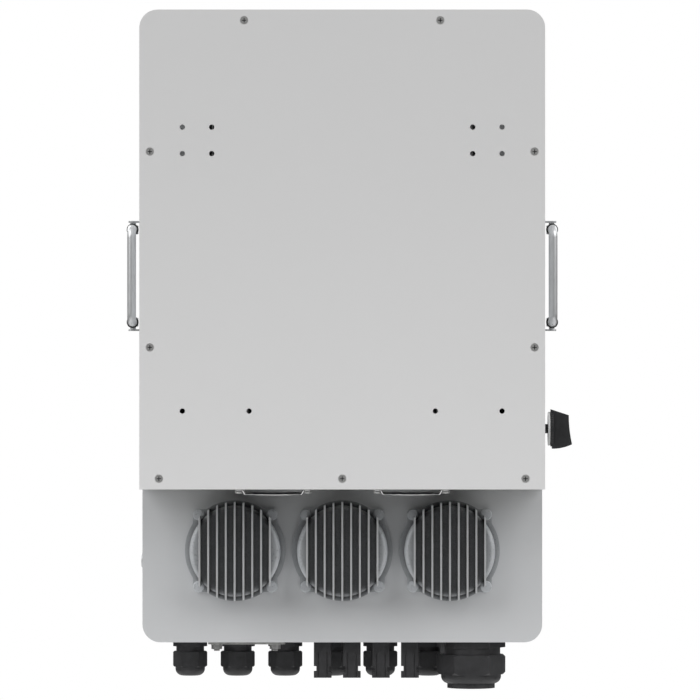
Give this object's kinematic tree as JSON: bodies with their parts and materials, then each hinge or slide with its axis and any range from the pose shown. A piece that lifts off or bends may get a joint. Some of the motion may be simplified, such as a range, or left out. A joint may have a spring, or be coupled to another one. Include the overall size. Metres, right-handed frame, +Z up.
{
  "type": "string inverter",
  "caption": "Wall-hung three-phase battery inverter: flat rear plate over a fan-cooled duct, finned round inductor pots, cable glands, solar sockets, rotary DC switch and folding side handles.",
  "frame": {"origin": "centre of the rear plate's outer face", "axes": "+Y out of the rear face towards the wall, +Z up, front panel faces -Y, +X to the right of a person who faces the front"},
  "size_m": [0.475, 0.279, 0.7127],
  "materials": {
    "rear_plate_paint": "smooth light grey powder coat",
    "housing_paint": "fine textured grey powder coat",
    "cover_paint": "fine textured light grey powder coat",
    "cast_aluminium": "sand-textured casting",
    "sink_aluminium": "extruded",
    "zinc_steel": "zinc plated sheet",
    "screw_steel": "bright machined",
    "handle_steel": "satin stainless",
    "guard_chrome": "polished wire",
    "black_nylon": "moulded",
    "fan_plastic": "moulded, satin",
    "knob_plastic": "moulded, satin",
    "collar_plastic": "moulded",
    "rubber_black": "smooth",
    "key_plastic": "moulded",
    "light_lens": "diffuse lens",
    "window_glass": "tinted",
    "display_plastic": "smooth",
    "board_green": "solder mask",
    "components": "mixed component cases",
    "terminal_plastic": "moulded",
    "copper": "enamelled winding",
    "ferrite": "coated ring"
  },
  "bodies": {
    "housing": {"rear_cover_plate": "rear_plate_paint", "rear_plate_screws": "screw_steel", "bracket_press_nuts": "zinc_steel", "duct_frame": "housing_paint", "heatsink": "sink_aluminium", "fan_plate": "zinc_steel", "fan_frame_left": "fan_plastic", "fan_frame_right": "fan_plastic", "fan_guard_left": "guard_chrome", "fan_guard_right": "guard_chrome", "fan_screws": "screw_steel", "main_housing": "housing_paint", "inductor_pot_left": "cast_aluminium", "inductor_pot_middle": "cast_aluminium", "inductor_pot_right": "cast_aluminium", "pot_gaskets": "rubber_black", "pot_screws": "screw_steel", "inductor_cores": "ferrite", "inductor_windings": "copper", "front_cover": "cover_paint", "front_cover_seal": "rubber_black", "front_cover_screws": "screw_steel", "wiring_cover": "cover_paint", "wiring_cover_seal": "rubber_black", "wiring_cover_screws": "screw_steel", "display_window": "window_glass", "display_module": "display_plastic", "indicator_lights": "light_lens", "control_board": "board_green", "power_switch_body": "black_nylon", "gland_bodies": "black_nylon", "gland_nuts": "black_nylon", "gland_seals": "rubber_black", "gland_locknuts": "black_nylon", "battery_gland_body": "black_nylon", "battery_gland_nut": "black_nylon", "battery_gland_seal": "rubber_black", "pv_connectors": "black_nylon", "pv_connector_nuts": "black_nylon", "earth_bar": "zinc_steel", "earth_bolts": "screw_steel", "signal_connector": "black_nylon", "dc_switch_body": "black_nylon", "dc_switch_collar": "collar_plastic", "handle_bracket_left": "handle_steel", "handle_bracket_right": "handle_steel", "handle_screws": "screw_steel", "power_board": "board_green", "board_electronics": "components", "terminal_blocks": "terminal_plastic"},
    "dc_switch_knob": {"dc_switch_knob": "knob_plastic"},
    "fan_rotor_left": {"fan_rotor_left": "fan_plastic"},
    "fan_rotor_right": {"fan_rotor_right": "fan_plastic"},
    "handle_left": {"handle_bail_left": "handle_steel"},
    "handle_right": {"handle_bail_right": "handle_steel"},
    "key_escape": {"button_escape": "key_plastic"},
    "key_up": {"button_up": "key_plastic"},
    "key_down": {"button_down": "key_plastic"},
    "key_enter": {"button_enter": "key_plastic"},
    "power_key": {"power_button": "handle_steel"}
  },
  "joints": [
    {"name": "dc_switch_turn", "type": "hinge", "parent": "housing", "child": "dc_switch_knob", "pos_m": [-0.211, -0.17, -0.1887], "axis": [1, 0, 0], "range_deg": [0, 90]},
    {"name": "fan_left_spin", "type": "hinge", "parent": "housing", "child": "fan_rotor_left", "pos_m": [-0.072, -0.045, -0.235], "axis": [0, 0, 1], "continuous": true},
    {"name": "fan_right_spin", "type": "hinge", "parent": "housing", "child": "fan_rotor_right", "pos_m": [0.072, -0.045, -0.235], "axis": [0, 0, 1], "continuous": true},
    {"name": "handle_left_swing", "type": "hinge", "parent": "housing", "child": "handle_left", "pos_m": [-0.2232, -0.152, -0.0256], "axis": [0, 0, 1], "range_deg": [0, 90]},
    {"name": "handle_right_swing", "type": "hinge", "parent": "housing", "child": "handle_right", "pos_m": [0.2232, -0.152, -0.0256], "axis": [0, 0, -1], "range_deg": [0, 90]},
    {"name": "key_escape_press", "type": "slide", "parent": "housing", "child": "key_escape", "axis": [0, 1, 0], "range_m": [0, 0.0007], "stiffness_N_per_m": 400},
    {"name": "key_up_press", "type": "slide", "parent": "housing", "child": "key_up", "axis": [0, 1, 0], "range_m": [0, 0.0007], "stiffness_N_per_m": 400},
    {"name": "key_down_press", "type": "slide", "parent": "housing", "child": "key_down", "axis": [0, 1, 0], "range_m": [0, 0.0007], "stiffness_N_per_m": 400},
    {"name": "key_enter_press", "type": "slide", "parent": "housing", "child": "key_enter", "axis": [0, 1, 0], "range_m": [0, 0.0007], "stiffness_N_per_m": 400},
    {"name": "power_press", "type": "slide", "parent": "housing", "child": "power_key", "axis": [-1, 0, 0], "range_m": [0, 0.002], "stiffness_N_per_m": 400}
  ]
}
